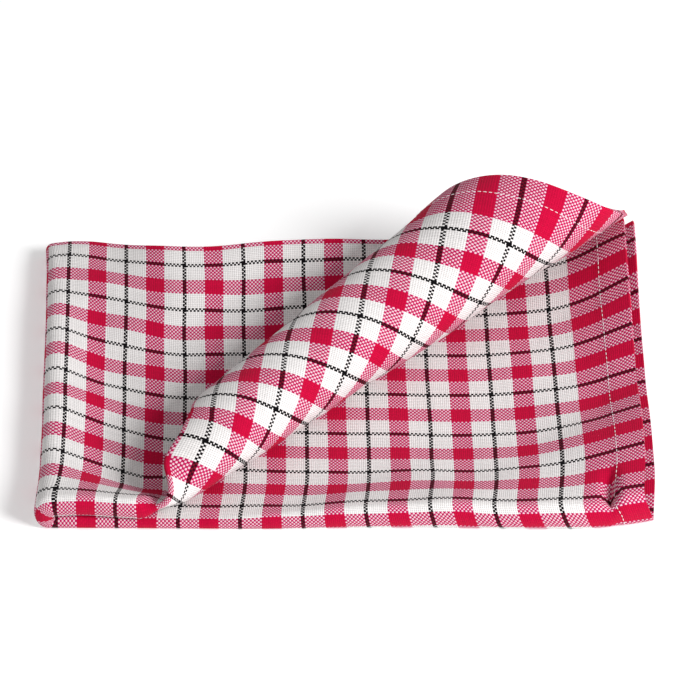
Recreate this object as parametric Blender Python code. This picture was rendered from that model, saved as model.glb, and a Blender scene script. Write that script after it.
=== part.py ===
"""Tea towel: one woven cloth, folded in four, with a corner of its upper two layers rolled back.

A point of the cloth has two flat coordinates: along, measured from the short fold to a hem, and across,
measured from the long fold to a selvedge. folded() gives its place in the folded towel. The long fold lies in
front and the short fold at the left. The upper pair of layers is 1 and 2, with positive along, and the lower
pair is 3 and 4, with negative along. The outer layers 1 and 4 have positive across, the inner ones negative.
Layer 4 lies on the table. The free corner of the upper pair is turned back into a cone-shaped roll.
"""

import bmesh
import bpy
import numpy as np
from mathutils import Matrix

MM = 0.001

# The flat cloth
LENGTH = 700 * MM  # from hem to hem
WIDTH = 480 * MM  # from selvedge to selvedge
THICKNESS = 1.2 * MM

# How the layers lie
SPACING = 1.8 * MM  # from one layer to the next, where they lie flat
FOLD_DEPTH = 38 * MM  # how far behind the long fold the layers have come together
SIDE_DEPTH = 60 * MM  # how far from the short fold they have come together
TURN_CLOTH = 14 * MM  # cloth in a quarter turn of the short fold, which lies further left if it has less
PUFF = 0.72  # where layer 2 hangs at the folds, between layer 1 and layer 3
PULL = 11 * MM  # how far the upper pair is pulled forward behind the long fold
PULL_BETWEEN = (20 * MM, 80 * MM)  # where, along the towel, this starts and is complete
SKEW = -0.033  # how far the towel leans to the left towards the back
HEM_STEP = 3.2 * MM  # half of what the lowest hem shows beyond the one above it
HEM_STEP_BETWEEN = (100 * MM, 300 * MM)  # where, along the towel, the layers slide apart by it
LENGTH_AT_FOLD = 0.935  # length of the cloth's weave at the short fold, as a share of its mean length
LENGTH_GAIN = 0.40  # how much that share grows with each metre towards the hem
SLACK_SHARE = 0.6  # cloth that a rise takes up: this times the rise squared, over the run

# Heights of the layers: a row for each distance behind the long fold, and after it the height at each
# distance from the short fold
TOP_ALONG = (0 * MM, 30 * MM, 75 * MM, 180 * MM, 290 * MM)
TOP_HEIGHTS = (
    # behind, at the fold, one repeat in, two repeats in, middle, last line
    (0 * MM, 23 * MM, 21 * MM, 19 * MM, 19 * MM, 19 * MM),
    (38 * MM, 19 * MM, 10 * MM, 6.3 * MM, 6.3 * MM, 6.3 * MM),
    (100 * MM, 18.5 * MM, 8 * MM, 6.1 * MM, 6.1 * MM, 8 * MM),
    (170 * MM, 18.5 * MM, 11 * MM, 10 * MM, 9 * MM, 12 * MM),
    (205 * MM, 17 * MM, 14 * MM, 15 * MM, 15 * MM, 21 * MM),
    (240 * MM, 11 * MM, 15 * MM, 19 * MM, 20 * MM, 24 * MM),
)
THIRD_ALONG = (0 * MM, 72 * MM, 180 * MM, 290 * MM, 350 * MM)
THIRD_HEIGHTS = (
    # behind, at the fold, two repeats in, middle, last line, hem
    (0 * MM, 11 * MM, 11 * MM, 17 * MM, 20 * MM, 20 * MM),
    (38 * MM, 6 * MM, 2.6 * MM, 6 * MM, 13 * MM, 27 * MM),
    (100 * MM, 5 * MM, 2.4 * MM, 2.6 * MM, 7 * MM, 21 * MM),
    (170 * MM, 5 * MM, 2.4 * MM, 2.6 * MM, 8 * MM, 34 * MM),
    (205 * MM, 5 * MM, 2.4 * MM, 2.6 * MM, 11 * MM, 38 * MM),
    (240 * MM, 5 * MM, 2.4 * MM, 3 * MM, 12 * MM, 34 * MM),
)
LOWEST_ALONG = (0 * MM, 290 * MM, 350 * MM)
LOWEST_HEIGHTS = (
    # behind, at the fold, last line, hem
    (0 * MM, 0.6 * MM, 0.6 * MM, 3 * MM),
    (38 * MM, 0.6 * MM, 0.6 * MM, 8 * MM),
    (100 * MM, 0.6 * MM, 0.6 * MM, 9 * MM),
    (170 * MM, 0.6 * MM, 0.6 * MM, 18 * MM),
    (205 * MM, 0.6 * MM, 2.0 * MM, 33 * MM),
    (240 * MM, 0.6 * MM, 6.0 * MM, 31 * MM),
)
# How far back the long fold lies, at distances from the short fold
FRONT_LINE = (
    # along, back
    (0 * MM, -2.5 * MM),
    (100 * MM, -2.5 * MM),
    (200 * MM, 0 * MM),
    (290 * MM, 0 * MM),
    (350 * MM, 8 * MM),
)

# The roll: a cone on its side, which starts where the line at ROLL_ANGLE leaves the long fold
ROLL_START = 38 * MM  # along, at the long fold
ROLL_ANGLE = np.radians(44.8)  # of that line, from the long fold
ROLL_WIDE = 1.11  # width of its section, as a share of a circle's
ROLL_LOW = 0.89  # height of its section, as a share of a circle's
ROLL_GAP = 1.1 * MM  # half of the space between its two layers
ROLL_LIFT = 12 * MM  # the run over which the layers take that space
TUCK_FROM = np.radians(265)  # the turn at which the roll starts to close in on itself
TUCK = 0.15  # how much of its radius it then loses with each radian
ROLL_FOLD = 2.2 * MM  # radius of the long fold where it runs along the roll
ROLL_SECTIONS = (
    # from the start, radius, how far beyond the line the cloth stays down
    (-60 * MM, 6 * MM, 17 * MM),
    (0 * MM, 8 * MM, 15 * MM),
    (40 * MM, 14 * MM, 9 * MM),
    (80 * MM, 19 * MM, 4 * MM),
    (130 * MM, 22.5 * MM, 3 * MM),
    (200 * MM, 26 * MM, 6 * MM),
    (420 * MM, 37 * MM, 20 * MM),
)

# The mesh
FOLD_STEPS = 6  # rows of faces around a fold
TOP_STEP = 11.8 * MM  # the widest face of the upper pair
LOW_STEP = 19 * MM  # the widest face of the lower pair
NUDGE = 0.5 * MM  # the distance that stands for a direction on the cloth
MONOTONE = 3  # a curve steeper than this many times its chords would overshoot them

RED = (0.62, 0.03, 0.08, 1.0)


def curve_through(stations, values, at):
    """The smooth curve through a value at each station, read at the given places.

    Between two stations it stays between their values.
    """
    stations = np.asarray(stations, float)
    values = np.array([np.broadcast_to(value, at.shape) for value in values])
    run = np.diff(stations)
    slope = np.diff(values, axis=0) / run[:, None]
    mean = (slope[:-1] * run[1:, None] + slope[1:] * run[:-1, None]) / (run[:-1] + run[1:])[:, None]
    steepest = MONOTONE * np.minimum(abs(slope[:-1]), abs(slope[1:]))
    turns_back = slope[:-1] * slope[1:] <= 0
    inner = np.where(turns_back, 0.0, np.clip(mean, -steepest, steepest))
    tangent = np.vstack([slope[:1], inner, slope[-1:]])
    k = np.clip(np.searchsorted(stations, at, side="right") - 1, 0, len(run) - 1)
    t = np.clip((at - stations[k]) / run[k], 0.0, 1.0)
    point = np.arange(len(at))
    start, end = values[k, point], values[k + 1, point]
    leaving, arriving = tangent[k, point] * run[k], tangent[k + 1, point] * run[k]
    return (
        start * (1 + 2 * t) * (1 - t) ** 2
        + end * (3 - 2 * t) * t**2
        + leaving * t * (1 - t) ** 2
        - arriving * t**2 * (1 - t)
    )


def ramp(at, start, end):
    """0 before the start, 1 after the end, and a smooth step between them."""
    t = np.clip((at - start) / (end - start), 0.0, 1.0)
    return t * t * (3 - 2 * t)


def surface(rows, columns, along, across):
    """Height of a layer, and the cloth that its rises have taken up behind the long fold."""
    stations = np.array([row[0] for row in rows])
    heights = np.array([curve_through(columns, row[1:], along) for row in rows])
    taken = SLACK_SHARE * np.diff(heights, axis=0) ** 2 / np.diff(stations)[:, None]
    taken = np.vstack([np.zeros_like(along), np.cumsum(taken, axis=0)])
    return curve_through(stations, heights, across), curve_through(stations, taken, across)


def layers(along, across):
    """Height and depth of layers 1 to 4, at distances from the two folds."""
    first, first_taken = surface(TOP_HEIGHTS, TOP_ALONG, along, across)
    third, third_taken = surface(THIRD_HEIGHTS, THIRD_ALONG, along, across)
    lowest, _ = surface(LOWEST_HEIGHTS, LOWEST_ALONG, along, across)
    open_share = PUFF * np.maximum(1 - ramp(across, 0, FOLD_DEPTH), 1 - ramp(along, 0, SIDE_DEPTH))
    second = first - SPACING - (first - third - 2 * SPACING) * open_share
    pulled = PULL * ramp(along, *PULL_BETWEEN) * ramp(across, 0, FOLD_DEPTH)
    upper_depth = across - first_taken - pulled
    heights = (first, second, third, lowest)
    depths = (upper_depth, upper_depth, across - third_taken, across)
    return heights, depths


def roll_section(along, across):
    """Where the roll carries a point of the upper pair.

    It gives the place where the cloth leaves the layer below, as a distance along the roll's line and one
    beyond it, the offsets from there to the right and up, the direction out of the roll as its right and up
    parts, and the length of cloth since it left.
    """
    cos, sin = np.cos(ROLL_ANGLE), np.sin(ROLL_ANGLE)
    stations, radii, holds = zip(*ROLL_SECTIONS)
    line = (along - ROLL_START) * cos + across * sin
    beyond = (along - ROLL_START) * sin - across * cos
    free = np.maximum(beyond - curve_through(stations, holds, line), 0.0)
    foot = line
    for _ in range(3):
        radius = curve_through(stations, radii, foot)
        growth = (curve_through(stations, radii, foot + NUDGE) - radius) / NUDGE
        foot = line + growth * free**2 / (2 * radius)
    radius = curve_through(stations, radii, foot)
    turn = free / radius
    over = np.maximum(turn - TUCK_FROM, 0.0)
    over = (1 - np.sqrt(np.maximum(1 - 2 * TUCK * over, TUCK**2))) / TUCK
    turn = np.minimum(turn, TUCK_FROM) + over
    inner = radius * (1 - TUCK * over)
    right = inner * np.sin(turn) * ROLL_WIDE
    up = (radius - inner * np.cos(turn)) * ROLL_LOW
    out = np.array([np.sin(turn) / ROLL_WIDE, -np.cos(turn) / ROLL_LOW])
    out /= np.linalg.norm(out, axis=0)
    return (foot, curve_through(stations, holds, line)), right, up, out, free


def weave_length(along):
    """Length of the folded cloth up to a distance from the short fold."""
    return along * (LENGTH_AT_FOLD + LENGTH_GAIN * along / 2)


def upper_pair(distance, across, turn_length, side):
    """Places on layer 1 (side 1) or layer 2 (side -1), rolled or flat."""
    flat = np.maximum(distance - turn_length, 0.0)
    heights, depths = layers(flat, across)
    height = heights[0] if side > 0 else heights[1]
    lying = np.column_stack([weave_length(flat), depths[0], height])
    cos, sin = np.cos(ROLL_ANGLE), np.sin(ROLL_ANGLE)
    (foot, hold), right, up, out, free = roll_section(distance, across)
    foot_flat = np.maximum(ROLL_START + foot * cos + hold * sin - turn_length, 0.0)
    foot_back = foot * sin - hold * cos
    foot_across = np.clip(foot_back, 0.0, WIDTH / 2)
    foot_heights, foot_depths = layers(foot_flat, foot_across)
    lifted = ramp(free, 0.0, ROLL_LIFT)
    gap = (heights[0] - heights[1]) / 2 * (1 - lifted) + ROLL_GAP * lifted
    right = right - side * gap * out[0]
    up = up - side * gap * out[1]
    depth = foot_depths[0] + foot_back - foot_across
    rolled = np.column_stack(
        [
            weave_length(foot_flat) + right * sin,
            depth - right * cos,
            (foot_heights[0] + foot_heights[1]) / 2 + up,
        ]
    )
    return np.where((free > 0)[:, None], rolled, lying)


def lower_pair(distance, across, turn_length, side):
    """Places on layer 4 (side 1) or layer 3 (side -1)."""
    flat = np.maximum(distance - turn_length, 0.0)
    heights, depths = layers(flat, across)
    layer = 3 if side > 0 else 2
    step = side * HEM_STEP * ramp(flat, *HEM_STEP_BETWEEN)
    return np.column_stack([weave_length(flat) + step, depths[layer], heights[layer]])


def short_fold(along, across, side):
    """Places on the turn that joins layers 1 and 4 (side 1) or layers 2 and 3 (side -1)."""
    heights, depths = layers(np.zeros_like(along), across)
    high, low = (0, 3) if side > 0 else (1, 2)
    turn_radius = (heights[0] - heights[3]) / 2
    angle = np.clip(along / turn_radius, -np.pi / 2, np.pi / 2)
    radius = (heights[high] - heights[low]) / 2
    middle = (heights[high] + heights[low]) / 2
    share = (1 + np.sin(angle)) / 2
    depth = depths[high] * share + depths[low] * (1 - share)
    return np.column_stack([-radius * np.cos(angle), depth, middle + radius * np.sin(angle)])


def pair_place(along, across, side):
    """Places on the outer (side 1) or inner (side -1) layer of both pairs, behind the long fold."""
    distance = np.abs(along)
    heights, _ = layers(np.zeros_like(along), across)
    turn_length = np.pi / 4 * (heights[0] - heights[3])
    upper = upper_pair(distance, across, turn_length, side)
    lower = lower_pair(distance, across, turn_length, side)
    place = np.where((along > 0)[:, None], upper, lower)
    place = np.where((distance < turn_length)[:, None], short_fold(along, across, side), place)
    line_along, line_back = zip(*FRONT_LINE)
    place[:, 1] += curve_through(line_along, line_back, np.clip(place[:, 0], 0.0, LENGTH / 2))
    place[:, 0] += SKEW * place[:, 1] + np.minimum(turn_length - TURN_CLOTH, 0.0)
    return place


def long_fold_radius(along):
    """Radius of the long fold, on the lower pair, the upper pair and the roll."""
    distance = np.abs(along)
    heights, _ = layers(distance, np.zeros_like(along))
    on_roll = ramp(roll_section(distance, np.zeros_like(along))[4], 0.0, ROLL_LIFT)
    upper = (heights[0] - heights[1]) / 2 * (1 - on_roll) + ROLL_FOLD * on_roll
    lower = (heights[2] - heights[3]) / 2
    share = ramp(along, -heights[0], heights[0])
    return upper * share + lower * (1 - share)


def folded(along, across):
    """Places in the folded towel of points of the flat cloth."""
    radius = long_fold_radius(along)
    behind = np.maximum(np.abs(across) - np.pi / 2 * radius, 0.0)
    outer, inner = pair_place(along, behind, 1), pair_place(along, behind, -1)
    ahead = pair_place(along, behind + NUDGE, 1) + pair_place(along, behind + NUDGE, -1)
    middle, arm = (outer + inner) / 2, (outer - inner) / 2
    forward = middle - ahead / 2
    forward /= np.linalg.norm(forward, axis=1)[:, None]
    angle = np.clip(across / radius, -np.pi / 2, np.pi / 2)[:, None]
    reach = np.linalg.norm(arm, axis=1)[:, None]
    turn = middle + arm * np.sin(angle) + forward * reach * np.cos(angle)
    lying = np.where((across > 0)[:, None], outer, inner)
    return np.where((behind > 0)[:, None], lying, turn)


def spaced(start, end, step):
    """Evenly spaced places from start to end, without the end, at most step apart."""
    count = int(np.ceil(abs(end - start) / step))
    return list(np.linspace(start, end, count, endpoint=False))


def grid_lines():
    """The places of the mesh's lines along and across the flat cloth, closer at the folds."""
    short_turn = np.pi / 4 * TOP_HEIGHTS[0][1]
    long_turn = np.pi / 4 * THIRD_HEIGHTS[0][3]
    hem, selvedge = LENGTH / 2, WIDTH / 2
    along = spaced(-hem, -short_turn, LOW_STEP)
    along += spaced(-short_turn, short_turn, 2 * short_turn / FOLD_STEPS)
    along += spaced(short_turn, hem, TOP_STEP) + [hem]
    across = spaced(-selvedge, -long_turn, TOP_STEP)
    across += spaced(-long_turn, long_turn, 2 * long_turn / FOLD_STEPS)
    across += spaced(long_turn, selvedge, TOP_STEP) + [selvedge]
    return along, across


def sheet_mesh():
    """The folded cloth as a sheet without thickness, with faces that follow the roll."""
    along, across = grid_lines()
    flat_along, flat_across = (grid.ravel() for grid in np.meshgrid(along, across, indexing="ij"))
    sheet = bmesh.new()
    points = [sheet.verts.new(place) for place in folded(flat_along, flat_across)]
    columns = len(across)
    for row in range(len(along) - 1):
        for column in range(columns - 1):
            corner = row * columns + column
            near, far = points[corner], points[corner + columns + 1]
            right, left = points[corner + columns], points[corner + 1]
            if across[column] < 0:
                triangles = ((near, right, left), (right, far, left))
            else:
                triangles = ((near, right, far), (near, far, left))
            for triangle in triangles:
                sheet.faces.new(triangle)
    mesh = bpy.data.meshes.new("towel")
    sheet.to_mesh(mesh)
    sheet.free()
    return mesh


def cloth_material():
    """Plain red cloth."""
    material = bpy.data.materials.new("cloth")
    material.use_nodes = True
    shader = material.node_tree.nodes["Principled BSDF"]
    shader.inputs["Base Color"].default_value = RED
    shader.inputs["Roughness"].default_value = 0.9
    material.diffuse_color = RED
    return material


def stand_on_origin(towel):
    """Moves the mesh so that the middle of the towel's underside is at the origin."""
    bpy.context.view_layer.update()
    solid = towel.evaluated_get(bpy.context.evaluated_depsgraph_get())
    corners = np.array([corner[:] for corner in solid.bound_box])
    low, high = corners.min(axis=0), corners.max(axis=0)
    shift = -np.array([(low[0] + high[0]) / 2, (low[1] + high[1]) / 2, low[2]])
    towel.data.transform(Matrix.Translation(shift))


def main():
    for leftover in list(bpy.data.objects):
        bpy.data.objects.remove(leftover)
    towel = bpy.data.objects.new("towel", sheet_mesh())
    bpy.context.scene.collection.objects.link(towel)
    towel.data.materials.append(cloth_material())
    towel.data.shade_smooth()
    thick = towel.modifiers.new("cloth thickness", "SOLIDIFY")
    thick.thickness = THICKNESS
    thick.offset = 0.0
    stand_on_origin(towel)


main()
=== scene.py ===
"""A tea towel folded in four, with a corner of its upper two layers turned back into a soft roll.

The towel is one cloth. Its flat coordinates are along, from the short fold to a hem, and across, from the
long fold to a selvedge. The upper pair of layers has positive along, and the lower pair negative. The outer
layers, 1 and 4, have positive across, and the inner ones negative. The weave and its check are drawn on these
flat coordinates, so that they follow every fold. Lengths are in metres, if nothing else is said.
"""

from __future__ import annotations

import logging
from dataclasses import dataclass, field
from enum import Enum

import bpy
import numpy as np
from mathutils import Color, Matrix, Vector


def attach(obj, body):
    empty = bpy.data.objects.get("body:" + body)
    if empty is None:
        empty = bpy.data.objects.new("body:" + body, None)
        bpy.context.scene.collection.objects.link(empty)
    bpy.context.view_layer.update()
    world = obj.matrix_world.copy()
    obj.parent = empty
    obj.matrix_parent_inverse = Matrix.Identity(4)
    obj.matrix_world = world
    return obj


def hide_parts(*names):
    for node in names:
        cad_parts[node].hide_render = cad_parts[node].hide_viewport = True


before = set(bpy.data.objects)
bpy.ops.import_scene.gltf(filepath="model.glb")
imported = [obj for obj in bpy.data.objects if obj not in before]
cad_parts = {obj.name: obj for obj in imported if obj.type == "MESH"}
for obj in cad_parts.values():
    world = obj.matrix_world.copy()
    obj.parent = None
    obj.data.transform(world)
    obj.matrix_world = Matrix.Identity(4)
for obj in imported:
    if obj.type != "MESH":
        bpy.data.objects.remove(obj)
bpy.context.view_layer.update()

MM = 0.001
LOG = logging.getLogger("tea_towel")
Colour = tuple[float, float, float, float]
Place = tuple[float, float, float]
Span = tuple[float, float]
Table = tuple[tuple[float, ...], ...]
Numbers = tuple[float, ...] | np.ndarray
FourLayers = tuple[np.ndarray, np.ndarray, np.ndarray, np.ndarray]
Socket = bpy.types.NodeSocket
WHITE: Colour = (1.0, 1.0, 1.0, 1.0)
# The layers that the short fold joins, counted from 0 at the top: outer ones for side 1, inner ones for -1.
JOINED = {1: (0, 3), -1: (1, 2)}
# A Mix node's sockets for colours.
MIX_SHARE, MIX_FIRST, MIX_SECOND, MIX_RESULT = 0, 6, 7, 2


def from_srgb(red: int, green: int, blue: int) -> Colour:
    """Turn a colour as it looks on a screen, with parts from 0 to 255, into the linear one of shaders."""
    return (*Color((red / 255, green / 255, blue / 255)).from_srgb_to_scene_linear(), 1.0)


def ramp(at: np.ndarray, start: float, end: float) -> np.ndarray:
    """Read a smooth step, which leaves 0 at the start and reaches 1 at the end."""
    t = np.clip((at - start) / (end - start), 0.0, 1.0)
    return t * t * (3 - 2 * t)


def curve_through(stations: Numbers, values: Numbers, at: np.ndarray) -> np.ndarray:
    """Read the smooth curve through a value at each station, which never overshoots them.

    Args:
        stations: Where the values are, in rising order.
        values: A value for each station, or an array with one for each place.
        at: The places at which the curve is read.

    Returns:
        The curve's value at each place.
    """
    stations = np.asarray(stations, float)
    values = np.array([np.broadcast_to(value, at.shape) for value in values])
    run = np.diff(stations)
    slope = np.diff(values, axis=0) / run[:, None]
    mean = (slope[:-1] * run[1:, None] + slope[1:] * run[:-1, None]) / (run[:-1] + run[1:])[:, None]
    steepest = 3 * np.minimum(abs(slope[:-1]), abs(slope[1:]))
    inner = np.where(slope[:-1] * slope[1:] <= 0, 0.0, np.clip(mean, -steepest, steepest))
    tangent = np.vstack([slope[:1], inner, slope[-1:]])
    k = np.clip(np.searchsorted(stations, at, side="right") - 1, 0, len(run) - 1)
    t = np.clip((at - stations[k]) / run[k], 0.0, 1.0)
    point = np.arange(len(at))
    start, end = values[k, point], values[k + 1, point]
    leaving, arriving = tangent[k, point] * run[k], tangent[k + 1, point] * run[k]
    return (
        start * (1 + 2 * t) * (1 - t) ** 2
        + end * (3 - 2 * t) * t**2
        + leaving * t * (1 - t) ** 2
        - arriving * t**2 * (1 - t)
    )


class ClothFace(Enum):
    """The two faces of the cloth."""

    RIGHT = 1.0
    WRONG = -1.0


@dataclass(frozen=True)
class LayerHeights:
    """Heights of one layer, in millimetres.

    Attributes:
        along: Distances from the short fold.
        rows: For each distance behind the long fold, that distance and the height at each place along.
        taken_share: Cloth that a rise takes up, as a share of its height squared over its run.
    """

    along: tuple[float, ...]
    rows: Table
    taken_share: float = 0.6

    def read(self, along: np.ndarray, across: np.ndarray) -> tuple[np.ndarray, np.ndarray]:
        """Read the layer.

        Args:
            along: Distances from the short fold, in metres.
            across: Distances behind the long fold, in metres.

        Returns:
            The heights, and the cloth that the layer's rises have taken up, both in metres.
        """
        stations = np.array([row[0] for row in self.rows]) * MM
        columns = np.array(self.along) * MM
        heights = np.array([curve_through(columns, np.array(row[1:]) * MM, along) for row in self.rows])
        taken = self.taken_share * np.diff(heights, axis=0) ** 2 / np.diff(stations)[:, None]
        taken = np.vstack([np.zeros_like(along), np.cumsum(taken, axis=0)])
        return curve_through(stations, heights, across), curve_through(stations, taken, across)


TOP = LayerHeights(
    along=(0, 30, 75, 180, 290),
    rows=(
        (0, 23, 22.5, 22, 19, 19),
        (38, 19, 10, 6.3, 6.3, 6.3),
        (100, 18.5, 8, 6.1, 6.1, 8),
        (170, 18.5, 12, 12.5, 10.5, 12),
        (205, 17, 15.5, 18, 17.5, 21),
        (240, 11, 14.5, 23.5, 25, 25),
    ),
)
THIRD = LayerHeights(
    along=(0, 72, 180, 290, 350),
    rows=(
        (0, 7, 7, 15.5, 19, 19),
        (38, 6, 2.6, 6, 13, 27),
        (100, 5, 2.4, 2.6, 7, 21),
        (170, 5, 2.4, 2.6, 8, 34),
        (205, 5, 2.4, 2.6, 11, 38),
        (240, 5, 2.4, 3, 12, 34),
    ),
)
LOWEST = LayerHeights(
    along=(0, 290, 350),
    rows=(
        (0, 0.6, 0.6, 3),
        (38, 0.6, 0.6, 8),
        (100, 0.6, 0.6, 9),
        (170, 0.6, 0.6, 18),
        (205, 0.6, 2.0, 33),
        (240, 0.6, 6.0, 31),
    ),
)


@dataclass(frozen=True)
class RollPlace:
    """Where points of the upper pair lie on the roll.

    Attributes:
        foot: Where their cloth leaves the layer below, as a distance along the roll's line.
        hold: How far beyond the line that is.
        right: How far they lie to the right of it, square to the line.
        up: How far they lie above it.
        out: The direction out of the roll, as its shares to the right and up.
        free: The length of cloth since it left.
    """

    foot: np.ndarray
    hold: np.ndarray
    right: np.ndarray
    up: np.ndarray
    out: np.ndarray
    free: np.ndarray


@dataclass(frozen=True)
class CornerRoll:
    """The turned-back corner: a cone on its side, which starts on the long fold.

    Attributes:
        start: Where its line leaves the long fold, from the short fold.
        angle: The line's angle from the long fold.
        wide: Width of its section, as a share of a circle's.
        low: Height of its section, as a share of a circle's.
        gap: Half of the space between its two layers.
        lift: The run over which the layers take that space.
        tuck_from: The turn at which the roll starts to close in on itself.
        tuck: How much of its radius it then loses with each radian.
        fold: Radius of the long fold where it runs along the roll.
        nudge: The step over which the cone's growth is measured.
        rounds: How many times the search for a point's foot is repeated.
        sections: In millimetres, distance from the start, radius, and how far the cloth stays down.
    """

    start: float = 38 * MM
    angle: float = float(np.radians(44.8))
    wide: float = 1.11
    low: float = 0.89
    gap: float = 1.1 * MM
    lift: float = 12 * MM
    tuck_from: float = float(np.radians(265))
    tuck: float = 0.15
    fold: float = 2.2 * MM
    nudge: float = 0.5 * MM
    rounds: int = 3
    sections: Table = (
        (-60, 10, 23),
        (0, 10, 23),
        (30, 13.8, 15.8),
        (60, 15, 5.5),
        (95, 19.2, 4.7),
        (140, 22.6, 4.2),
        (200, 26, 6),
        (420, 37, 20),
    )

    def section(self, along: np.ndarray, across: np.ndarray) -> RollPlace:
        """Carry points of the upper pair round the roll.

        Args:
            along: Distances from the short fold, on the flat cloth.
            across: Distances from the long fold, on the flat cloth.

        Returns:
            Where they lie.
        """
        cos, sin = np.cos(self.angle), np.sin(self.angle)
        stations, radii, holds = np.array(self.sections).T * MM
        line = (along - self.start) * cos + across * sin
        beyond = (along - self.start) * sin - across * cos
        hold = curve_through(stations, holds, line)
        free = np.maximum(beyond - hold, 0.0)
        foot = line
        for _ in range(self.rounds):
            radius = curve_through(stations, radii, foot)
            growth = (curve_through(stations, radii, foot + self.nudge) - radius) / self.nudge
            foot = line + growth * free**2 / (2 * radius)
        radius = curve_through(stations, radii, foot)
        turn = free / radius
        over = np.maximum(turn - self.tuck_from, 0.0)
        over = (1 - np.sqrt(np.maximum(1 - 2 * self.tuck * over, self.tuck**2))) / self.tuck
        turn = np.minimum(turn, self.tuck_from) + over
        inner = radius * (1 - self.tuck * over)
        right = inner * np.sin(turn) * self.wide
        up = (radius - inner * np.cos(turn)) * self.low
        out = np.array([np.sin(turn) / self.wide, -np.cos(turn) / self.low])
        out /= np.linalg.norm(out, axis=0)
        return RollPlace(foot, hold, right, up, out, free)


@dataclass(frozen=True)
class Rumples:
    """The soft unevenness of a cloth folded by hand, and the buckle near its front right corner.

    Attributes:
        waves: Height in millimetres, waves on x and on y, and phase of each soft wave.
        sideways: How far points move sideways, as a share of how far they rise.
        off_table: Heights between which the cloth comes free of the table.
        crease: How far the buckle's crease lies from the short fold.
        crease_depth: How deep it is.
        crease_width: Half of its width.
        crease_front: Depths between which it starts at the front.
        rise: Height of the low rise beside it.
        rise_run: Width of that rise's slope.
        fade: Depths between which the buckle fades towards the back.
        fade_up: Heights between which it fades, so that the roll stays round.
    """

    waves: Table = ((0.45, 61, 23, 1.0), (0.35, -37, 78, 2.1), (0.25, 118, 64, 0.4), (0.20, -96, 131, 3.9))
    sideways: float = 0.3
    off_table: Span = (1.2 * MM, 9 * MM)
    crease: float = 311 * MM
    crease_depth: float = 7.5 * MM
    crease_width: float = 3.5 * MM
    crease_front: Span = (-6 * MM, 5 * MM)
    rise: float = 3 * MM
    rise_run: float = 6 * MM
    fade: Span = (4 * MM, 34 * MM)
    fade_up: Span = (26 * MM, 34 * MM)

    def applied(self, place: np.ndarray) -> np.ndarray:
        """Move the points of the smoothly folded cloth, in the same way in all layers.

        Args:
            place: Their places.

        Returns:
            The places, moved by up to about 1 mm, or 7 mm in the buckle, and not at all on the table.
        """
        x, y, z = place.T
        free = ramp(z, *self.off_table)
        waves = sum(height * np.sin(on_x * x + on_y * y + phase) for height, on_x, on_y, phase in self.waves)
        lift = waves * MM * free
        valley = np.exp(-(((x - self.crease) / self.crease_width) ** 2)) * ramp(y, *self.crease_front)
        dent = self.rise * ramp(x, self.crease, self.crease + self.rise_run) - self.crease_depth * valley
        buckled = dent * free * (1 - ramp(y, *self.fade)) * (1 - ramp(z, *self.fade_up))
        return place + np.column_stack([self.sideways * lift, self.sideways * lift, lift + buckled])


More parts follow.
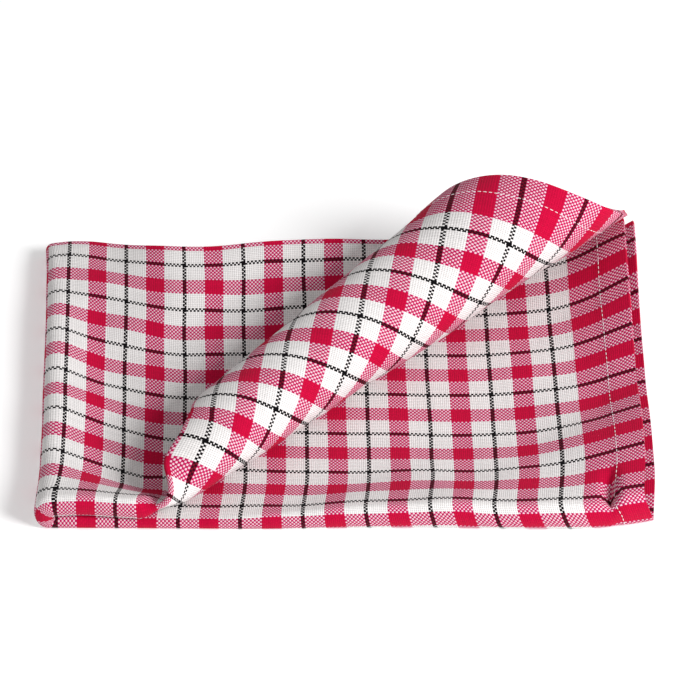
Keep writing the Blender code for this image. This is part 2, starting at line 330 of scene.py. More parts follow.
@dataclass(frozen=True)
class Folding:
    """How the flat cloth lies once it is folded.

    Attributes:
        length: From hem to hem.
        width: From selvedge to selvedge.
        spacing: From one layer to the next, where they lie flat.
        fold_depth: How far behind the long fold the layers have come together.
        side_depth: How far from the short fold they have come together.
        turn_cloth: Cloth in a quarter turn of the short fold, which lies further left if it has less.
        puff: Where layer 2 hangs at the folds, between layer 1 and layer 3.
        bulge: How far the long fold stands out, as a share of its radius.
        squareness: How round the short fold's upper and lower halves are: 1 is a circle, and less is squarer.
        even_radius: The long fold's mean radius in the upper pair, at its left and at its right.
        even_run: Where along that radius passes from the left value to the right one.
        even_depth: How far from the long fold the cloth that it takes up evens out to that.
        even_side: Where along this sets in, past the short fold.
        weave: How much the cloth runs for each length of it, at the short fold, and how that grows.
        pull: How far the upper pair is pulled forward behind the long fold.
        pull_run: Where along that sets in.
        skew: How far the towel leans to the left towards the back.
        hem_step: Half of what the lowest hem shows beyond the one above it.
        step_run: Where along the lower layers come apart by that.
        front_line: In millimetres, distances from the short fold, and how far back the long fold lies.
        middle: The middle of the towel's box, from the corner of its folds.
        ahead: The step over which the long fold's direction is measured.
        beside: The step over which the cloth's facing is measured.
        roll: The turned-back corner.
        rumples: Its soft unevenness.
    """

    length: float = 700 * MM
    width: float = 480 * MM
    spacing: float = 1.8 * MM
    fold_depth: float = 38 * MM
    side_depth: float = 60 * MM
    turn_cloth: float = 14 * MM
    puff: float = 0.97
    bulge: float = 0.6
    squareness: tuple[float, float] = (0.65, 0.5)
    even_radius: tuple[float, float] = (4.6 * MM, 2.4 * MM)
    even_run: Span = (40 * MM, 200 * MM)
    even_depth: Span = (12 * MM, 90 * MM)
    even_side: Span = (-20 * MM, 20 * MM)
    weave: tuple[float, float] = (0.935, 0.40)
    pull: float = 11 * MM
    pull_run: Span = (20 * MM, 80 * MM)
    skew: float = -0.033
    hem_step: float = 3.2 * MM
    step_run: Span = (100 * MM, 300 * MM)
    front_line: Table = ((0, -2.5), (100, -2.5), (200, 0), (290, 0), (350, 8))
    middle: tuple[float, float] = (159.6 * MM, 111.6 * MM)
    ahead: float = 0.5 * MM
    beside: float = 0.6 * MM
    roll: CornerRoll = field(default_factory=CornerRoll)
    rumples: Rumples = field(default_factory=Rumples)

    def layers(self, along: np.ndarray, across: np.ndarray) -> tuple[FourLayers, FourLayers]:
        """Find the four layers.

        Args:
            along: Distances from the short fold.
            across: Distances behind the long fold.

        Returns:
            The heights of layers 1 to 4, and their depths.
        """
        first, first_taken = TOP.read(along, across)
        third, third_taken = THIRD.read(along, across)
        lowest, _ = LOWEST.read(along, across)
        near_folds = np.maximum(1 - ramp(across, 0, self.fold_depth), 1 - ramp(along, 0, self.side_depth))
        second = first - self.spacing - (first - third - 2 * self.spacing) * self.puff * near_folds
        pulled = self.pull * ramp(along, *self.pull_run) * ramp(across, 0, self.fold_depth)
        upper = across - first_taken - pulled
        return (first, second, third, lowest), (upper, upper, across - third_taken, across)

    def weave_length(self, along: np.ndarray) -> np.ndarray:
        """Give the length of the folded cloth up to a distance from the short fold."""
        return along * (self.weave[0] + self.weave[1] * along / 2)

    def rolled(self, roll: RollPlace, turn: np.ndarray, gap: np.ndarray, side: int) -> np.ndarray:
        """Place points of the upper pair that are on the roll.

        Args:
            roll: Where they lie on it.
            turn: Cloth in a quarter turn of the short fold.
            gap: Half of the space between layers 1 and 2 if they lay flat.
            side: 1 for layer 1, -1 for layer 2.

        Returns:
            The places.
        """
        cos, sin = np.cos(self.roll.angle), np.sin(self.roll.angle)
        flat = np.maximum(self.roll.start + roll.foot * cos + roll.hold * sin - turn, 0.0)
        back = roll.foot * sin - roll.hold * cos
        across = np.clip(back, 0.0, self.width / 2)
        heights, depths = self.layers(flat, across)
        lifted = ramp(roll.free, 0.0, self.roll.lift)
        gap = side * (gap * (1 - lifted) + self.roll.gap * lifted)
        right, up = roll.right - gap * roll.out[0], roll.up - gap * roll.out[1]
        depth, middle = depths[0] + back - across, (heights[0] + heights[1]) / 2
        return np.column_stack([self.weave_length(flat) + right * sin, depth - right * cos, middle + up])

    def short_fold(self, along: np.ndarray, heights: FourLayers, depths: FourLayers, side: int) -> np.ndarray:
        """Place points of the turn at the short fold.

        Args:
            along: Flat coordinates along the cloth.
            heights: Heights of the four layers at the fold.
            depths: Their depths there.
            side: 1 for the turn that joins layers 1 and 4, -1 for the one that joins layers 2 and 3.

        Returns:
            The places.
        """
        high, low = JOINED[side]
        angle = np.clip(along / ((heights[0] - heights[3]) / 2), -np.pi / 2, np.pi / 2)
        radius, middle = (heights[high] - heights[low]) / 2, (heights[high] + heights[low]) / 2
        share = (1 + np.sin(angle)) / 2
        depth = depths[high] * share + depths[low] * (1 - share)
        bulge = np.maximum(np.cos(angle), 0.0) ** np.where(angle > 0, *self.squareness)
        return np.column_stack([-radius * bulge, depth, middle + radius * np.sin(angle)])

    def pair_place(self, along: np.ndarray, across: np.ndarray, side: int) -> np.ndarray:
        """Place points of the outer (side 1) or inner (side -1) layers, behind the long fold.

        Args:
            along: Flat coordinates along the cloth.
            across: Distances behind the long fold.
            side: Which of the two layers.

        Returns:
            The places.
        """
        distance = np.abs(along)
        heights, depths = self.layers(np.zeros_like(along), across)
        turn = np.pi / 4 * (heights[0] - heights[3])
        turned = self.short_fold(along, heights, depths, side)
        flat = np.maximum(distance - turn, 0.0)
        heights, depths = self.layers(flat, across)
        high, low = JOINED[side]
        length, step = self.weave_length(flat), side * self.hem_step * ramp(flat, *self.step_run)
        lower = np.column_stack([length + step, depths[low], heights[low]])
        upper = np.column_stack([length, depths[high], heights[high]])
        roll = self.roll.section(distance, across)
        rolled = self.rolled(roll, turn, (heights[0] - heights[1]) / 2, side)
        upper = np.where((roll.free > 0)[:, None], rolled, upper)
        place = np.where((along > 0)[:, None], upper, lower)
        place = np.where((distance < turn)[:, None], turned, place)
        line_along, line_back = np.array(self.front_line).T * MM
        place[:, 1] += curve_through(line_along, line_back, np.clip(place[:, 0], 0.0, self.length / 2))
        place[:, 0] += self.skew * place[:, 1] + np.minimum(turn - self.turn_cloth, 0.0)
        return place

    def long_fold_radius(self, along: np.ndarray) -> np.ndarray:
        """Find the radius of the long fold, on the lower pair, the upper pair and the roll.

        Args:
            along: Flat coordinates along the cloth.

        Returns:
            The radius at each of them.
        """
        distance, front = np.abs(along), np.zeros_like(along)
        heights, _ = self.layers(distance, front)
        on_roll = ramp(self.roll.section(distance, front).free, 0.0, self.roll.lift)
        upper = (heights[0] - heights[1]) / 2 * (1 - on_roll) + self.roll.fold * on_roll
        lower = (heights[2] - heights[3]) / 2
        share = ramp(along, -heights[0], heights[0])
        return upper * share + lower * (1 - share)

    def long_fold_cloth(self, along: np.ndarray, across: np.ndarray, radius: np.ndarray) -> np.ndarray:
        """Give the cloth that the long fold takes up, which evens out in the upper pair away from the fold.

        Args:
            along: Flat coordinates along the cloth.
            across: Flat coordinates across it.
            radius: Radius of the long fold.

        Returns:
            The lengths, in metres.
        """
        left, right = self.even_radius
        even = left + (right - left) * ramp(along, *self.even_run)
        share = ramp(np.abs(across), *self.even_depth) * ramp(along, *self.even_side)
        return np.pi / 2 * (radius + (even - radius) * share)

    def folded(self, along: np.ndarray, across: np.ndarray) -> np.ndarray:
        """Fold the flat cloth.

        Args:
            along: Flat coordinates along the cloth.
            across: Flat coordinates across it.

        Returns:
            The places of these points, in metres, with the origin under the middle of the towel.
        """
        radius = self.long_fold_radius(along)
        behind = np.maximum(np.abs(across) - self.long_fold_cloth(along, across, radius), 0.0)
        outer, inner = self.pair_place(along, behind, 1), self.pair_place(along, behind, -1)
        further = behind + self.ahead
        ahead = self.pair_place(along, further, 1) + self.pair_place(along, further, -1)
        middle, arm = (outer + inner) / 2, (outer - inner) / 2
        forward = middle - ahead / 2
        forward /= np.linalg.norm(forward, axis=1)[:, None]
        angle = np.clip(across / radius, -np.pi / 2, np.pi / 2)[:, None]
        reach = np.linalg.norm(arm, axis=1)[:, None] * self.bulge
        turned = middle + arm * np.sin(angle) + forward * reach * np.cos(angle)
        lying = np.where((across > 0)[:, None], outer, inner)
        place = self.rumples.applied(np.where((behind > 0)[:, None], lying, turned))
        return place - np.array([self.middle[0], self.middle[1], 0.0])

    def facing(self, along: np.ndarray, across: np.ndarray) -> np.ndarray:
        """Find where the cloth's right side faces.

        Args:
            along: Flat coordinates along the cloth.
            across: Flat coordinates across it.

        Returns:
            A direction of unit length at each of these points.
        """
        on_along = self.folded(along + self.beside, across) - self.folded(along - self.beside, across)
        on_across = self.folded(along, across + self.beside) - self.folded(along, across - self.beside)
        normal = np.cross(on_along, on_across)
        return normal / np.linalg.norm(normal, axis=1)[:, None]


class NodeWriter:
    """Adds nodes to one tree and joins them."""

    def __init__(self, tree: bpy.types.NodeTree) -> None:
        """Keep the tree that nodes are added to."""
        self.tree = tree

    def feed(self, socket: Socket, value: object) -> None:
        """Join a socket to another one, or set its value.

        Args:
            socket: The socket that takes it.
            value: The other socket, or the value.
        """
        if isinstance(value, bpy.types.NodeSocket):
            self.tree.links.new(value, socket)
        else:
            socket.default_value = value

    def add(self, kind: str, inputs: dict | None = None, **settings: object) -> bpy.types.Node:
        """Add a node.

        Args:
            kind: The node's type.
            inputs: Values or sockets for its inputs, by name or number.
            settings: Values for its own properties.

        Returns:
            The node.
        """
        node = self.tree.nodes.new(kind)
        for name, value in settings.items():
            setattr(node, name, value)
        for name, value in (inputs or {}).items():
            self.feed(node.inputs[name], value)
        return node

    def math(self, operation: str, *values: object) -> Socket:
        """Add a Math node and give its result."""
        return self.add("ShaderNodeMath", dict(enumerate(values)), operation=operation).outputs[0]

    def scaled(self, vector: object, share: object) -> Socket:
        """Scale a vector or colour."""
        return self.add("ShaderNodeVectorMath", {0: vector, "Scale": share}, operation="SCALE").outputs[0]

    def mix(self, share: object, first: object, second: object) -> Socket:
        """Mix two colours, with a share from 0 to 1 of the second one."""
        inputs = {MIX_SHARE: share, MIX_FIRST: first, MIX_SECOND: second}
        return self.add("ShaderNodeMix", inputs, data_type="RGBA").outputs[MIX_RESULT]


class GroupWriter(NodeWriter):
    """Writes a shader node group that takes numbers and gives numbers."""

    def __init__(self, name: str, inputs: dict[str, float], outputs: tuple[str, ...]) -> None:
        """Start the group.

        Args:
            name: Its name.
            inputs: Its inputs with their usual values.
            outputs: Its outputs.
        """
        super().__init__(bpy.data.node_groups.new(name, "ShaderNodeTree"))
        labels = [(label, "INPUT") for label in inputs] + [(label, "OUTPUT") for label in outputs]
        for label, way in labels:
            socket = self.tree.interface.new_socket(label, in_out=way, socket_type="NodeSocketFloat")
            if way == "INPUT":
                socket.default_value = inputs[label]
        self.given = self.add("NodeGroupInput").outputs
        self.results = self.add("NodeGroupOutput").inputs


class MaterialWriter(NodeWriter):
    """Writes a material round its one shader."""

    def __init__(self, name: str, surface: dict[str, object]) -> None:
        """Start the material.

        Args:
            name: Its name.
            surface: Unvarying values for the shader's inputs.
        """
        self.material = bpy.data.materials.new(name)
        self.material.use_nodes = True
        super().__init__(self.material.node_tree)
        self.surface = self.tree.nodes["Principled BSDF"].inputs
        for label, value in surface.items():
            self.feed(self.surface[label], value)


def add_object(name: str, data: bpy.types.ID) -> bpy.types.Object:
    """Put a new object into the scene.

    Args:
        name: Its name.
        data: Its mesh, light or camera.

    Returns:
        The object.
    """
    thing = bpy.data.objects.new(name, data)
    bpy.context.scene.collection.objects.link(thing)
    return thing


def aim_object(thing: bpy.types.Object, place: Place, aim: Place) -> None:
    """Put a light or camera in its place, and turn it to look at another place."""
    thing.location = place
    thing.rotation_euler = (Vector(aim) - Vector(place)).to_track_quat("-Z", "Y").to_euler()


@dataclass(frozen=True)
class CheckPattern:
    """The order of the coloured threads of warp or weft, centred on a red stripe.

    Attributes:
        repeat: Length of one repeat.
        threads: Threads in one repeat.
        red: Threads in its red stripe.
        black: Threads in its black line.
        red_rise: How much higher the red yarns, which are thicker, lie than the white ones.
        black_rise: How much higher the black yarns lie than the white ones.
    """

    repeat: float
    threads: float
    red: float
    red_rise: float
    black_rise: float
    black: float = 2

    @property
    def pitch(self) -> float:
        """Give the distance from one thread to the next."""
        return self.repeat / self.threads

    @staticmethod
    def group() -> bpy.types.NodeTree:
        """Build the group that says from a thread's number whether it is red or black.

        Returns:
            The group.
        """
        usual = {"Thread": 0.0, "Threads": 34.0, "Red Threads": 10.0, "Black Threads": 2.0}
        w = GroupWriter("thread order", usual, ("Red", "Black"))
        number, repeat, red, black = (w.given[label] for label in usual)
        turn = w.math("DIVIDE", w.math("ADD", number, 0.5), repeat)
        off_middle = w.math("ABSOLUTE", w.math("SUBTRACT", turn, w.math("ROUND", turn)))
        from_middle = w.math("MULTIPLY", off_middle, repeat)
        edge = w.math("MULTIPLY", w.math("SUBTRACT", repeat, black), 0.5)
        w.feed(w.results["Red"], w.math("LESS_THAN", from_middle, w.math("MULTIPLY", red, 0.5)))
        w.feed(w.results["Black"], w.math("GREATER_THAN", from_middle, edge))
        return w.tree


@dataclass(frozen=True)
class PlainWeave:
    """How warp and weft cross: over one, under one.

    Attributes:
        weft_lead: How much higher the weft lies than the warp, in thread heights.
        crown: How round a thread is.
    """

    weft_lead: float = 0.10
    crown: float = 0.9

    def thread(self, w: GroupWriter, own: Socket, other: Socket) -> tuple[Socket, Socket]:
        """Describe the threads of one system, weft or warp.

        Args:
            w: The writer of the weave's group.
            own: Count of these threads.
            other: Count of the threads that they cross.

        Returns:
            How far a thread falls off at its sides, and how it rises and dips.
        """
        inside = w.math("SUBTRACT", w.math("MULTIPLY", w.math("FRACT", own), 2.0), 1.0)
        crown = w.math("MULTIPLY", w.math("MULTIPLY", inside, inside), w.given["Crown"])
        odd = w.math("MODULO", w.math("FLOOR", own), 2.0)
        sign = w.math("SUBTRACT", 1.0, w.math("MULTIPLY", w.math("ABSOLUTE", odd), 2.0))
        wave = w.math("MULTIPLY", w.math("SINE", w.math("MULTIPLY", other, float(np.pi))), sign)
        return crown, wave

    def group(self) -> bpy.types.NodeTree:
        """Build the group that finds the upper thread from thread counts along and across.

        Returns:
            The group.
        """
        usual = {label: 0.0 for label in ("Along", "Across", "Weft Rise", "Warp Rise")}
        usual |= {"Weft Lead": self.weft_lead, "Crown": self.crown}
        w = GroupWriter("plain weave", usual, ("Weft", "Height"))
        along, across, weft_rise, warp_rise, weft_lead, _ = (w.given[label] for label in usual)
        weft_crown, weft_wave = self.thread(w, along, across)
        warp_crown, warp_wave = self.thread(w, across, along)
        weft = w.math("ADD", w.math("SUBTRACT", weft_wave, weft_crown), weft_lead)
        weft = w.math("ADD", weft, weft_rise)
        warp = w.math("SUBTRACT", w.math("MULTIPLY", warp_wave, -1.0), warp_crown)
        warp = w.math("ADD", warp, warp_rise)
        w.feed(w.results["Weft"], w.math("GREATER_THAN", weft, warp))
        w.feed(w.results["Height"], w.math("MAXIMUM", weft, warp))
        return w.tree


@dataclass(frozen=True)
class YarnTone:
    """How the dye and the thickness of a yarn vary.

    Attributes:
        between: How much neighbouring threads differ.
        along: How much a thread differs along its length.
        apart: How far apart neighbouring threads read the noise.
    """

    between: float = 0.12
    along: float = 0.20
    apart: float = 3.7

    def group(self) -> bpy.types.NodeTree:
        """Build the group that finds a thread's lightness from its number and the place along it.

        Returns:
            The group.
        """
        usual = {"Thread": 0.0, "Place": 0.0, "Between": self.between, "Along Thread": self.along}
        w = GroupWriter("yarn tone", usual, ("Tone",))
        thread, run, between, along = (w.given[label] for label in usual)
        own = w.add("ShaderNodeTexWhiteNoise", {"W": thread}, noise_dimensions="1D")
        place = w.add("ShaderNodeCombineXYZ", {"X": run, "Y": w.math("MULTIPLY", thread, self.apart)})
        slub = w.add("ShaderNodeTexNoise", {"Vector": place.outputs[0], "Scale": 0.55, "Detail": 2.0})
        spread = w.math("MULTIPLY", w.math("SUBTRACT", own.outputs["Value"], 0.5), between)
        streak = w.math("MULTIPLY", w.math("SUBTRACT", slub.outputs[0], 0.5), along)
        w.feed(w.results["Tone"], w.math("ADD", w.math("ADD", 1.0, spread), streak))
        return w.tree


@dataclass(frozen=True)
class CheckedCotton:
    """The finish of the towel: dyed cotton yarns in a plain weave.

    Attributes:
        red: The crimson yarn.
        rose: The same yarn where it crosses white yarn and looks pinker.
        dusk: The same yarn where it crosses black yarn and looks darker.
        white: The bleached yarn.
        blush: The same yarn where it crosses red yarn and takes a tint from it.
        black: The black yarn.
        wine: The same yarn where it crosses red yarn.
        weft: The order of the weft threads, which lie across the towel.
        warp: The order of the warp threads, which lie along it.
        border_from: Where the wide red band at each hem starts, from the short fold.
        edge_from: Where the red edge threads at each selvedge start, from the long fold.
        drift: How far the threads wander from a straight line.
    """

    red: Colour = from_srgb(191, 2, 55)
    rose: Colour = from_srgb(187, 8, 84)
    dusk: Colour = from_srgb(112, 2, 32)
    white: Colour = from_srgb(236, 232, 231)
    blush: Colour = from_srgb(234, 192, 205)
    black: Colour = from_srgb(5, 3, 7)
    wine: Colour = from_srgb(48, 0, 16)
    weft: CheckPattern = CheckPattern(repeat=36 * MM, threads=32, red=10, red_rise=0.65, black_rise=1.35)
    warp: CheckPattern = CheckPattern(repeat=34.6 * MM, threads=26, red=8, red_rise=0.45, black_rise=0.72)
    border_from: float = 318 * MM
    edge_from: float = 236.6 * MM
    drift: float = 0.9 * MM

    def counts(self, w: NodeWriter) -> tuple[Socket, Socket, Socket, Socket]:
        """Count the threads from the cloth's own flat coordinates, in metres, in its UV map.

        Args:
            w: The material's writer.

        Returns:
            The counts of weft and warp threads, and the masks of the red band at the hems and of the red
            edge at the selvedges.
        """
        flat = w.add("ShaderNodeUVMap", uv_map="flat cloth").outputs[0]
        wander = w.add("ShaderNodeTexNoise", {"Vector": flat, "Scale": 26.0, "Detail": 1.0})
        about_0 = {0: wander.outputs["Color"], 1: (0.5, 0.5, 0.5)}
        apart = w.add("ShaderNodeVectorMath", about_0, operation="SUBTRACT").outputs[0]
        moved = {0: flat, 1: w.scaled(apart, self.drift)}
        place = w.add("ShaderNodeVectorMath", moved, operation="ADD").outputs[0]
        x, y, _ = w.add("ShaderNodeSeparateXYZ", {0: place}).outputs
        border = w.math("GREATER_THAN", w.math("ABSOLUTE", x), self.border_from)
        edge = w.math("GREATER_THAN", w.math("ABSOLUTE", y), self.edge_from)
        return w.math("DIVIDE", x, self.weft.pitch), w.math("DIVIDE", y, self.warp.pitch), border, edge

    def material(self) -> bpy.types.Material:
        """Build the material, with painted shade in the gaps between the threads.

        Returns:
            The material.
        """
        surface = {"Roughness": 0.88, "Specular IOR Level": 0.1, "Sheen Weight": 0.03, "Sheen Roughness": 0.5}
        w = MaterialWriter("checked cotton", surface)
        along, across, border, edge = self.counts(w)
        order, tone = CheckPattern.group(), YarnTone().group()

        def yarn(
            pattern: CheckPattern, count: Socket, run: Socket, extra_red: Socket
        ) -> tuple[Socket, Socket, Socket, Socket]:
            """Describe the yarns of one system, weft or warp.

            Args:
                pattern: The order of its threads.
                count: Their count.
                run: The place along them.
                extra_red: The mask of the red threads that are outside this order.

            Returns:
                The masks of the red and of all dyed threads, and the threads' tone and rise.
            """
            number = w.math("FLOOR", count)
            sizes = {"Thread": number, "Threads": pattern.threads}
            sizes |= {"Red Threads": pattern.red, "Black Threads": pattern.black}
            stripes = w.add("ShaderNodeGroup", sizes, node_tree=order)
            varied = w.add("ShaderNodeGroup", {"Thread": number, "Place": run}, node_tree=tone)
            red = w.math("MAXIMUM", stripes.outputs["Red"], extra_red)
            dyed = w.math("MAXIMUM", red, stripes.outputs["Black"])
            black_rise = w.math("MULTIPLY", w.math("SUBTRACT", dyed, red), pattern.black_rise)
            rise = w.math("MULTIPLY_ADD", red, pattern.red_rise, black_rise)
            return red, dyed, varied.outputs["Tone"], rise

        weft = yarn(self.weft, along, across, border)
        warp = yarn(self.warp, across, along, edge)
        given = {"Along": along, "Across": across, "Weft Rise": weft[3], "Warp Rise": warp[3]}
        weft_above, height = w.add("ShaderNodeGroup", given, node_tree=PlainWeave().group()).outputs

        def choose(from_warp: Socket, from_weft: Socket) -> Socket:
            """Take the weft's value where the weft lies above, and the warp's elsewhere."""
            return w.math("MULTIPLY_ADD", weft_above, w.math("SUBTRACT", from_weft, from_warp), from_warp)

        red_above, dyed_above, yarn_tone = [choose(*pair) for pair in zip(warp[:3], weft[:3])]
        red_below, dyed_below = [choose(*pair) for pair in zip(weft[:2], warp[:2])]
        red = w.mix(w.math("SUBTRACT", 1.0, dyed_below), self.red, self.rose)
        red = w.mix(w.math("SUBTRACT", dyed_below, red_below), red, self.dusk)
        white = w.mix(red_below, self.white, self.blush)
        black = w.mix(red_below, self.black, self.wine)
        colour = w.mix(dyed_above, white, w.mix(red_above, black, red))
        # Painted shade: the base colour darkens to about half where the threads dip into the gaps between
        # them, and the yarns' random tone is multiplied in as well.
        painted_gap_shade = {"Value": height, "From Min": -0.7, "From Max": 0.45, "To Min": 0.48, "To Max": 1.0}
        light = w.math("MULTIPLY", w.add("ShaderNodeMapRange", painted_gap_shade).outputs[0], yarn_tone)
        relief = w.add("ShaderNodeBump", {"Height": height, "Distance": 0.16 * MM, "Strength": 0.8})
        w.feed(w.surface["Base Color"], w.scaled(colour, light))
        w.feed(w.surface["Normal"], relief.outputs[0])
        return w.material


@dataclass(frozen=True)
class WhiteThread:
    """The finish of the hem stitching: bleached cotton sewing thread.

    Attributes:
        colour: The thread's colour.
    """

    colour: Colour = from_srgb(240, 232, 234)

    def material(self) -> bpy.types.Material:
        """Build the material, with the thread's twist as a fine relief.

        Returns:
            The material.
        """
        w = MaterialWriter("white sewing thread", {"Roughness": 0.7})
        place = w.add("ShaderNodeTexCoord").outputs["Object"]
        twist = w.add("ShaderNodeTexNoise", {"Vector": place, "Scale": 2600.0, "Detail": 1.0}).outputs[0]
        tint = w.add("ShaderNodeMapRange", {"Value": twist, "To Min": 0.86, "To Max": 1.02})
        relief = w.add("ShaderNodeBump", {"Height": twist, "Distance": 0.05 * MM})
        w.feed(w.surface["Base Color"], w.scaled(self.colour[:3], tint.outputs[0]))
        w.feed(w.surface["Normal"], relief.outputs[0])
        return w.material


@dataclass
class TowelCloth:
    """The woven cloth with its two hems.

    Attributes:
        folding: How it lies.
        thickness: Of the single cloth.
        hem_depth: From the hem's edge to its stitching.
        hem_extra: How much thicker the turned-in hem is.
        hem_blend: Half of the strip in which the thickness changes.
        step: The widest face of the mesh.
        fold_step: The widest face at the folds.
        turns: Half of the cloth that turns round the short fold and round the long one.
        sharp: The angle from which an edge of the mesh looks sharp, in degrees.
    """

    folding: Folding
    thickness: float = 1.1 * MM
    hem_depth: float = 15 * MM
    hem_extra: float = 0.8 * MM
    hem_blend: float = 1 * MM
    step: float = 2.9 * MM
    fold_step: float = 1.5 * MM
    turns: tuple[float, float] = (24 * MM, 20 * MM)
    sharp: float = 60.0

    def lines(self, end: float, turn: float) -> np.ndarray:
        """Space the mesh's lines from one edge of the cloth to the other.

        Args:
            end: Half of the cloth's size.
            turn: Half of the part that turns round the fold.

        Returns:
            Their flat coordinates.
        """
        count = int(np.ceil((end - turn) / self.step))
        outer = np.linspace(turn, end, count + 1)[1:]
        inner = np.linspace(-turn, turn, 2 * int(np.ceil(turn / self.fold_step)) + 1)
        return np.concatenate([-outer[::-1], inner, outer])

    def half_thickness(self, along: np.ndarray) -> np.ndarray:
        """Give half of the cloth's thickness, which grows where the hem is turned in."""
        line, near = self.folding.length / 2 - self.hem_depth, self.hem_blend
        return (self.thickness + self.hem_extra * ramp(np.abs(along), line - near, line + near)) / 2

    @staticmethod
    def faces(rows: int, columns: int) -> np.ndarray:
        """Join the points of the right side, those of the wrong side, and the two sides' rims.

        Args:
            rows: Lines of points from hem to hem.
            columns: Points in each of them.

        Returns:
            Four point numbers for each face.
        """
        count = rows * columns
        number = np.arange(count).reshape(rows, columns)
        corners = (number[:-1, :-1], number[1:, :-1], number[1:, 1:], number[:-1, 1:])
        quads = np.column_stack([corner.ravel() for corner in corners])
        border = np.concatenate([number[:, 0], number[-1, 1:], number[-2::-1, -1], number[0, -2:0:-1]])
        following = np.roll(border, -1)
        rim = np.column_stack([following, border, border + count, following + count])
        return np.vstack([quads, quads[:, ::-1] + count, rim])

    def build(self) -> bpy.types.Object:
        """Make the cloth's closed mesh with its flat coordinates as a UV map, and dress it.

        Returns:
            The cloth.
        """
        along = self.lines(self.folding.length / 2, self.turns[0])
        across = self.lines(self.folding.width / 2, self.turns[1])
        flat_along, flat_across = (axis.ravel() for axis in np.meshgrid(along, across, indexing="ij"))
        place = self.folding.folded(flat_along, flat_across)
        facing = self.folding.facing(flat_along, flat_across)
        offset = facing * self.half_thickness(flat_along)[:, None]
        faces = self.faces(len(along), len(across))
        mesh = bpy.data.meshes.new("woven cloth")
        mesh.from_pydata(np.vstack([place + offset, place - offset]), [], faces.tolist())
        layer = mesh.uv_layers.new(name="flat cloth")
        flat = np.column_stack([np.tile(flat_along, 2), np.tile(flat_across, 2)])
        layer.data.foreach_set("uv", flat[faces.ravel()].ravel())
        mesh.materials.append(CheckedCotton().material())
        mesh.shade_smooth()
        mesh.set_sharp_from_angle(angle=float(np.radians(self.sharp)))
        mesh.update()
        return add_object("woven_cloth", mesh)


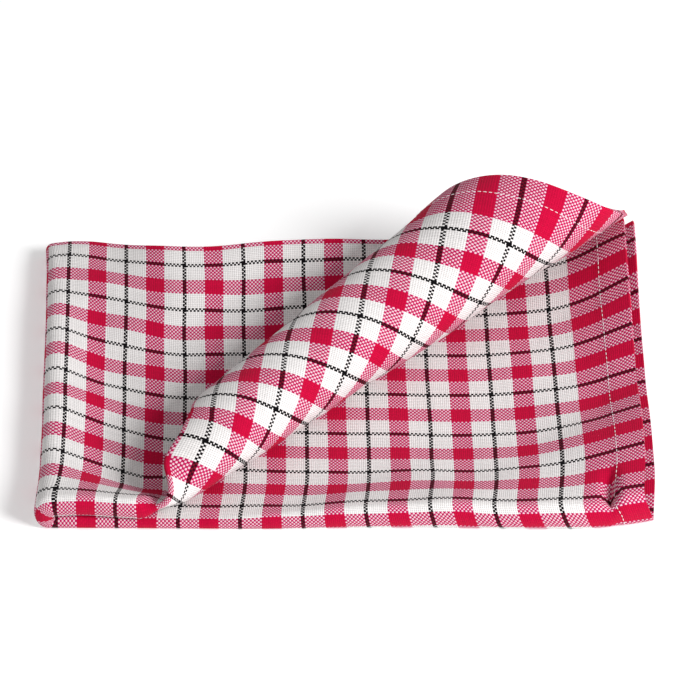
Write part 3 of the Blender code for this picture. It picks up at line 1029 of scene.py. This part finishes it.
@dataclass
class HemStitching:
    """One line of white stitches along each hem, on both faces of the cloth.

    Attributes:
        cloth: The cloth that they are sewn through.
        pitch: From one stitch to the next.
        length: Of the thread that shows.
        thread: Its diameter.
        lift: How far its middle lies above the cloth, as a share of its diameter.
        edge: How far from the selvedges the rows end.
        points: Points in the line that a row follows.
        seed: For the stitches' unevenness.
    """

    cloth: TowelCloth
    pitch: float = 3.4 * MM
    length: float = 2.5 * MM
    thread: float = 0.55 * MM
    lift: float = 0.1
    edge: float = 1.5 * MM
    points: int = 401
    seed: int = 4

    def path(self, hem: float, face: ClothFace) -> bpy.types.Object:
        """Lay the line that the stitches follow.

        Args:
            hem: 1 for the upper pair's hem, -1 for the lower pair's.
            face: The face of the cloth that it lies on.

        Returns:
            A line of points on the cloth, with the direction out of the cloth as an attribute.
        """
        folding = self.cloth.folding
        across = np.linspace(-1.0, 1.0, self.points) * (folding.width / 2 - self.edge)
        along = np.full_like(across, hem * (folding.length / 2 - self.cloth.hem_depth))
        facing = folding.facing(along, across) * face.value
        lift = self.cloth.half_thickness(along)[:, None] + self.thread * self.lift
        points = folding.folded(along, across) + facing * lift
        mesh = bpy.data.meshes.new("stitch line")
        mesh.from_pydata(points.tolist(), [(i, i + 1) for i in range(self.points - 1)], [])
        mesh.attributes.new("out", "FLOAT_VECTOR", "POINT").data.foreach_set("vector", facing.ravel())
        return add_object(f"stitch_line_{'upper' if hem > 0 else 'lower'}_{face.name.lower()}", mesh)

    def tree(self) -> bpy.types.NodeTree:
        """Build the tree that sets a stitch at each step along a line.

        Returns:
            The tree.
        """
        tree = bpy.data.node_groups.new("running stitches", "GeometryNodeTree")
        inputs = (
            ("Line", "Geometry", None),
            ("Stitch Pitch", "Float", self.pitch),
            ("Stitch Length", "Float", self.length),
            ("Thread Diameter", "Float", self.thread),
            ("Unevenness", "Float", 0.12),
            ("Seed", "Int", self.seed),
            ("Thread Material", "Material", None),
        )
        for label, kind, value in inputs:
            socket = tree.interface.new_socket(label, in_out="INPUT", socket_type=f"NodeSocket{kind}")
            if value is not None:
                socket.default_value = value
        tree.interface.new_socket("Stitches", in_out="OUTPUT", socket_type="NodeSocketGeometry")
        w = NodeWriter(tree)
        given = w.add("NodeGroupInput").outputs

        def result(kind: str, inputs: dict | None = None, number: int = 0, **settings: object) -> Socket:
            """Add a node and give the result with this number."""
            return w.add(kind, inputs, **settings).outputs[number]

        line = result("GeometryNodeMeshToCurve", {0: given["Line"]})
        spaced = {"Curve": line, "Length": given["Stitch Pitch"]}
        steps = result("GeometryNodeResampleCurve", spaced, mode="LENGTH")
        bead = result("GeometryNodeMeshUVSphere", {"Segments": 8, "Rings": 6, "Radius": 0.5})
        out = result("GeometryNodeInputNamedAttribute", {"Name": "out"}, data_type="FLOAT_VECTOR")
        direction = {"Vector": result("GeometryNodeInputTangent")}
        facing = {"Rotation": result("FunctionNodeAlignRotationToVector", direction, axis="X"), "Vector": out}
        turned = result("FunctionNodeAlignRotationToVector", facing, axis="Z", pivot_axis="X")
        low, high = (w.math(way, 1.0, given["Unevenness"]) for way in ("SUBTRACT", "ADD"))
        spread = {2: low, 3: high, "Seed": given["Seed"]}
        share = result("FunctionNodeRandomValue", spread, 1, data_type="FLOAT")
        long, thick = w.math("MULTIPLY", given["Stitch Length"], share), given["Thread Diameter"]
        size = result("ShaderNodeCombineXYZ", {"X": long, "Y": thick, "Z": thick})
        placed = {"Points": steps, "Instance": bead, "Rotation": turned, "Scale": size}
        real = result("GeometryNodeRealizeInstances", {0: result("GeometryNodeInstanceOnPoints", placed)})
        dress = {"Geometry": real, "Material": given["Thread Material"]}
        w.add("NodeGroupOutput", {"Stitches": result("GeometryNodeSetMaterial", dress)})
        return tree

    def sew(
        self, path: bpy.types.Object, tree: bpy.types.NodeTree, thread: bpy.types.Material
    ) -> bpy.types.Object:
        """Turn a stitch line into its stitches.

        Args:
            path: The line.
            tree: The tree that makes the stitches.
            thread: Their material.

        Returns:
            The stitches as one plain mesh.
        """
        modifier = path.modifiers.new("stitches", "NODES")
        modifier.node_group = tree
        names = {item.name: item.identifier for item in tree.interface.items_tree if item.in_out == "INPUT"}
        given = {"Stitch Pitch": self.pitch, "Stitch Length": self.length}
        given |= {"Thread Diameter": self.thread, "Thread Material": thread}
        for label, value in given.items():
            modifier[names[label]] = value
        bpy.context.view_layer.update()
        evaluated = path.evaluated_get(bpy.context.evaluated_depsgraph_get())
        mesh = bpy.data.meshes.new_from_object(evaluated)
        mesh.shade_smooth()
        stitches = add_object(path.name.replace("line", "row"), mesh)
        bpy.data.objects.remove(path)
        return stitches

    def build(self) -> list[bpy.types.Object]:
        """Sew all four rows."""
        tree, thread = self.tree(), WhiteThread().material()
        return [self.sew(self.path(hem, face), tree, thread) for hem in (1.0, -1.0) for face in ClothFace]


@dataclass(frozen=True)
class SoftLight:
    """A square light that shines at the middle of the towel.

    Attributes:
        name: Its name.
        place: Where it hangs.
        size: Its side.
        power: Its power, in watts.
    """

    name: str
    place: Place
    size: float
    power: float

    def hang(self) -> None:
        """Hang the light."""
        lamp = bpy.data.lights.new(self.name, "AREA")
        lamp.size = self.size
        lamp.energy = self.power
        aim_object(add_object(self.name, lamp), self.place, (0.0, 0.0, 0.0))


@dataclass(frozen=True)
class Studio:
    """The plain pale floor, the soft lights and the camera.

    Attributes:
        camera_place: Where the camera stands.
        camera_aim: What it looks at.
        lens: Its focal length, in millimetres.
        sensor: Width of its sensor, in millimetres.
        sight: How far it sees.
        reach: How far the floor reaches from the towel.
        floor_shade: How pale the floor is.
        floor_glow: How much light it gives of its own, so that it stays as pale as in the photo.
        sky: Strength of the even light from all sides.
        lights: The other lights.
    """

    camera_place: Place = (0.0194, -1.9267, 1.7397)
    camera_aim: Place = (0.0045, 0.0370, 0.0)
    lens: float = 230.0
    sensor: float = 36.0
    sight: float = 50.0
    reach: float = 6.0
    floor_shade: Colour = (0.93, 0.93, 0.93, 1.0)
    floor_glow: float = 0.25
    sky: float = 0.38
    lights: tuple[SoftLight, ...] = (
        SoftLight("key light", (1.66, -1.06, 1.42), 0.9, 62.0),
        SoftLight("fill light", (-1.6, -0.6, 2.0), 1.6, 4.0),
    )

    def floor(self) -> None:
        """Lay the floor."""
        mesh = bpy.data.meshes.new("floor")
        signs = ((-1, -1), (1, -1), (1, 1), (-1, 1))
        mesh.from_pydata([(x * self.reach, y * self.reach, 0) for x, y in signs], [], [(0, 1, 2, 3)])
        surface = {"Base Color": self.floor_shade, "Roughness": 0.9, "Specular IOR Level": 0.1}
        surface |= {"Emission Color": WHITE, "Emission Strength": self.floor_glow}
        mesh.materials.append(MaterialWriter("pale floor", surface).material)
        add_object("floor", mesh)

    def camera(self) -> None:
        """Set up the camera."""
        camera = bpy.data.cameras.new("camera")
        camera.lens = self.lens
        camera.sensor_width = self.sensor
        camera.clip_end = self.sight
        bpy.context.scene.camera = add_object("camera", camera)
        aim_object(bpy.context.scene.camera, self.camera_place, self.camera_aim)

    def build(self) -> None:
        """Set up the studio."""
        self.floor()
        self.camera()
        for light in self.lights:
            light.hang()
        world = bpy.data.worlds.new("studio")
        world.use_nodes = True
        world.node_tree.nodes["Background"].inputs["Color"].default_value = WHITE
        world.node_tree.nodes["Background"].inputs["Strength"].default_value = self.sky
        bpy.context.scene.world = world
        bpy.context.scene.view_settings.view_transform = "Standard"


def main() -> None:
    """Build the towel and its studio."""
    logging.basicConfig(level=logging.INFO, format="%(message)s")
    cloth = TowelCloth(Folding())
    woven = cloth.build()
    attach(woven, "root")
    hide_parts("towel")
    LOG.info("%s: %d faces", woven.name, len(woven.data.polygons))
    rows = HemStitching(cloth).build()
    for row in rows:
        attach(row, "root")
        LOG.info("%s: %d faces", row.name, len(row.data.polygons))
    Studio().build()


if __name__ == "__main__":
    main()
